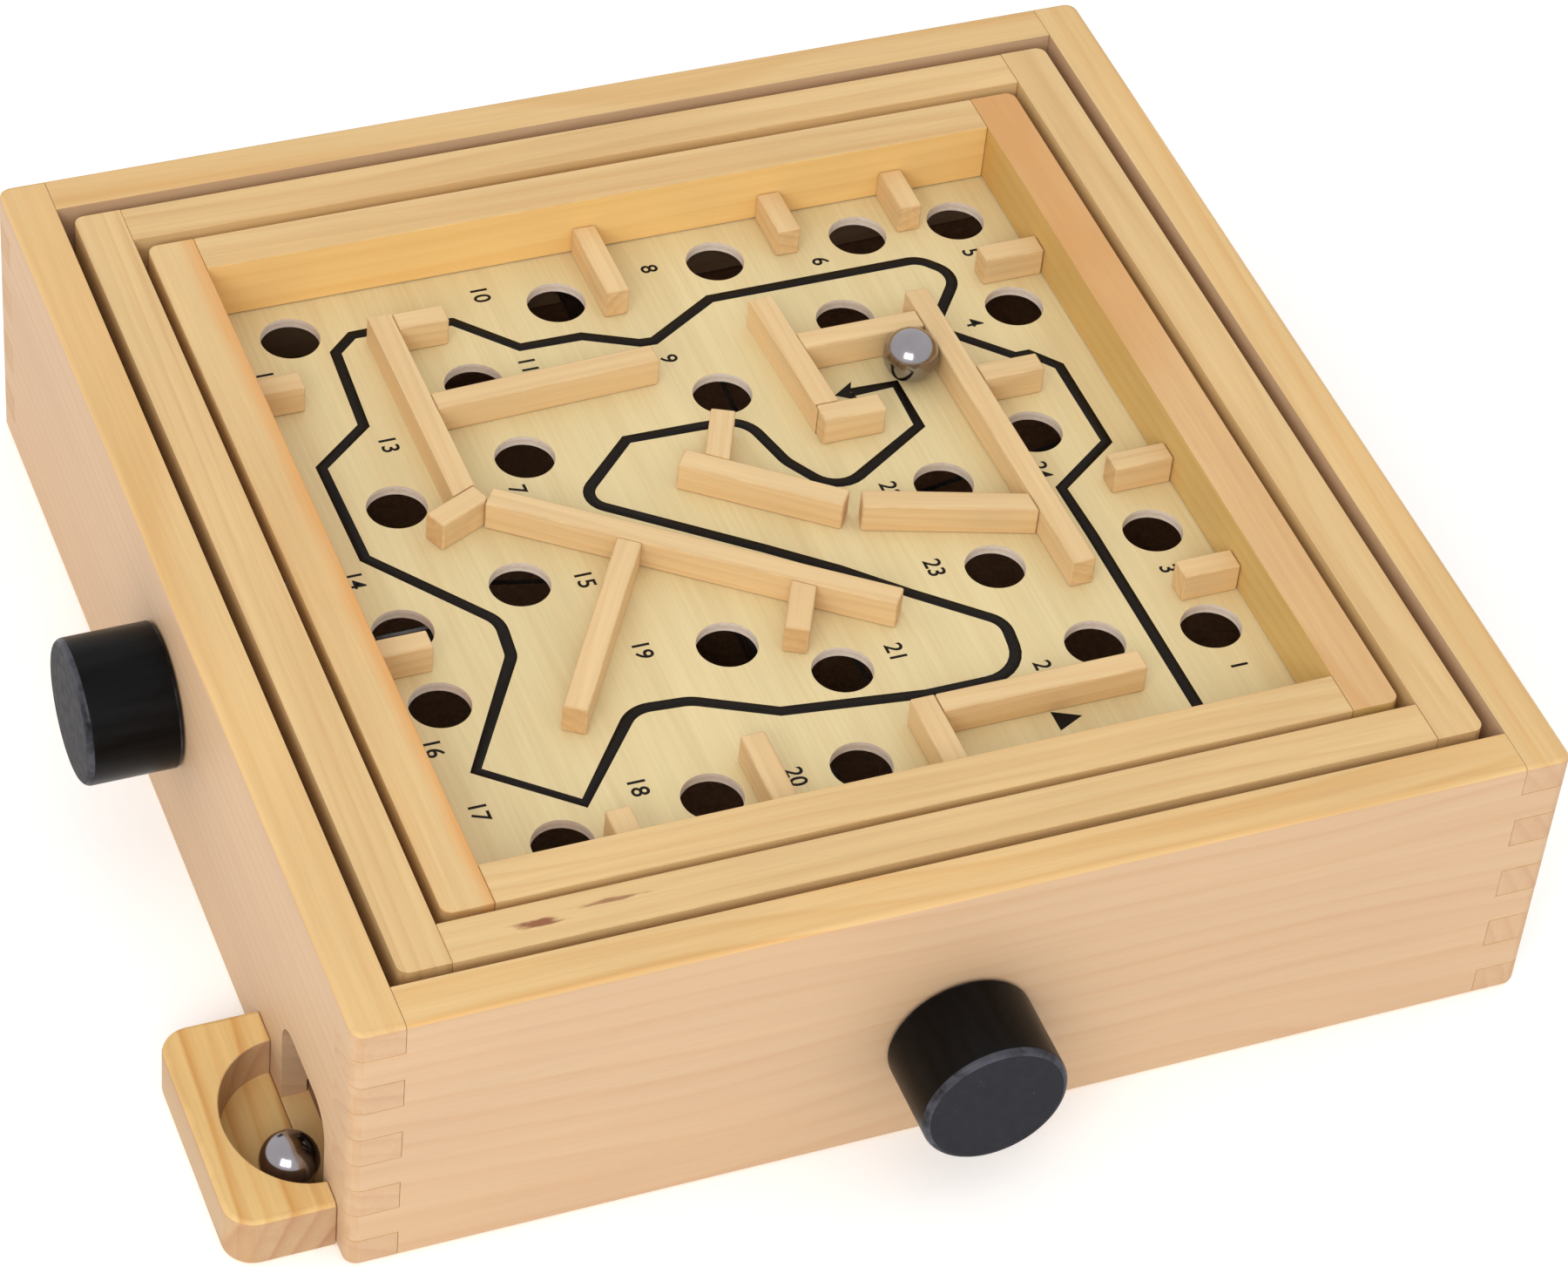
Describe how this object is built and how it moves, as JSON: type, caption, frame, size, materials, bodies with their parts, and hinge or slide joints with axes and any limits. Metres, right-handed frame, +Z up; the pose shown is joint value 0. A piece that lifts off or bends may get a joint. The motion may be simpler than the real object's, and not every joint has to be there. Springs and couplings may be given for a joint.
{
  "type": "wooden tilt maze game",
  "caption": "Square wooden tilt maze: two nested gimbal frames tilted by cord-driven knobs, a board with holes and bars, and a side tray for the returned ball.",
  "frame": {"origin": "centre of the box underside", "axes": "+Z up out of the box; the front knob is at -Y; the side knob and the ball tray are at -X"},
  "size_m": [0.2385, 0.2375, 0.058],
  "materials": {
    "pine": "sanded, clear oil, satin",
    "pine_warm": "sanded, clear oil, satin",
    "board_ply": "printed and varnished plywood, satin",
    "bar_wood": "sanded, clear oil, satin",
    "hardboard": "smooth hardboard, matte",
    "black_paint": "black satin paint on turned wood",
    "steel": "bright drawn steel",
    "ball_steel": "polished",
    "cord": "braided nylon, matte"
  },
  "bodies": {
    "box": {"wall_left": "pine", "wall_right": "pine", "wall_front": "pine", "wall_back": "pine", "base_panel": "hardboard", "return_floor": "hardboard", "ball_tray": "pine_warm", "outer_pin_front": "steel", "outer_pin_back": "steel"},
    "outer_frame": {"outer_rail_left": "pine", "outer_rail_right": "pine", "outer_rail_front": "pine", "outer_rail_back": "pine", "inner_pin_left": "steel", "inner_pin_right": "steel", "outer_cord": "cord", "outer_spring": "steel", "outer_hook": "steel"},
    "inner_frame": {"inner_rail_left": "pine_warm", "inner_rail_right": "pine_warm", "inner_rail_front": "pine", "inner_rail_back": "pine", "maze_board": "board_ply", "bar_back_stub_left": "bar_wood", "bar_back_stub_middle": "bar_wood", "bar_back_stub_right": "bar_wood", "bar_right_stub_back": "bar_wood", "bar_right_stub_middle": "bar_wood", "bar_right_stub_front": "bar_wood", "bar_left_stub_back": "bar_wood", "bar_left_stub_front": "bar_wood", "bar_front_stub_left": "bar_wood", "bar_front_stub_middle": "bar_wood", "bar_front_stub_right": "bar_wood", "bar_start_bar": "bar_wood", "bar_right_long": "bar_wood", "bar_right_spur": "bar_wood", "bar_finish_front": "bar_wood", "bar_finish_left": "bar_wood", "bar_finish_back": "bar_wood", "bar_centre_diagonal": "bar_wood", "bar_centre_spur": "bar_wood", "bar_centre_slant": "bar_wood", "bar_long_diagonal": "bar_wood", "bar_left_diagonal": "bar_wood", "bar_diagonal_spur": "bar_wood", "bar_left_foot": "bar_wood", "bar_left_long": "bar_wood", "bar_left_top_spur": "bar_wood", "bar_left_cross": "bar_wood", "inner_cord": "cord", "inner_spring": "steel", "inner_hook": "steel"},
    "side_knob_shaft": {"side_shaft": "steel", "side_knob": "black_paint"},
    "front_knob_shaft": {"front_shaft": "steel", "front_knob": "black_paint"},
    "ball_on_board": {"play_ball": "ball_steel"},
    "ball_in_tray": {"spare_ball": "ball_steel"}
  },
  "joints": [
    {"name": "outer_tilt", "type": "hinge", "parent": "box", "child": "outer_frame", "pos_m": [0, 0, 0.05], "axis": [0, 1, 0], "range_deg": [-3, 3], "deforming": ["outer_cord", "outer_spring"]},
    {"name": "inner_tilt", "type": "hinge", "parent": "outer_frame", "child": "inner_frame", "pos_m": [0, 0, 0.05], "axis": [1, 0, 0], "range_deg": [-3, 3], "deforming": ["inner_cord", "inner_spring"]},
    {"name": "side_knob_turn", "type": "hinge", "parent": "box", "child": "side_knob_shaft", "pos_m": [-0.11, -0.0028, 0.033], "axis": [1, 0, 0], "range_deg": [-20, 20]},
    {"name": "front_knob_turn", "type": "hinge", "parent": "box", "child": "front_knob_shaft", "pos_m": [-0.0016, -0.11, 0.024], "axis": [0, 1, 0], "range_deg": [-28, 28]},
    {"name": "play_ball_lift", "type": "slide", "parent": "inner_frame", "child": "ball_on_board", "axis": [0, 0, 1], "range_m": [0, 0.04]},
    {"name": "spare_ball_lift", "type": "slide", "parent": "box", "child": "ball_in_tray", "axis": [-0.342, 0, 0.9397], "range_m": [0, 0.04]}
  ],
  "couplings": [
    {"joint": "side_knob_turn", "follows": "inner_tilt", "ratio": 6.29},
    {"joint": "front_knob_turn", "follows": "outer_tilt", "ratio": 8.96}
  ]
}
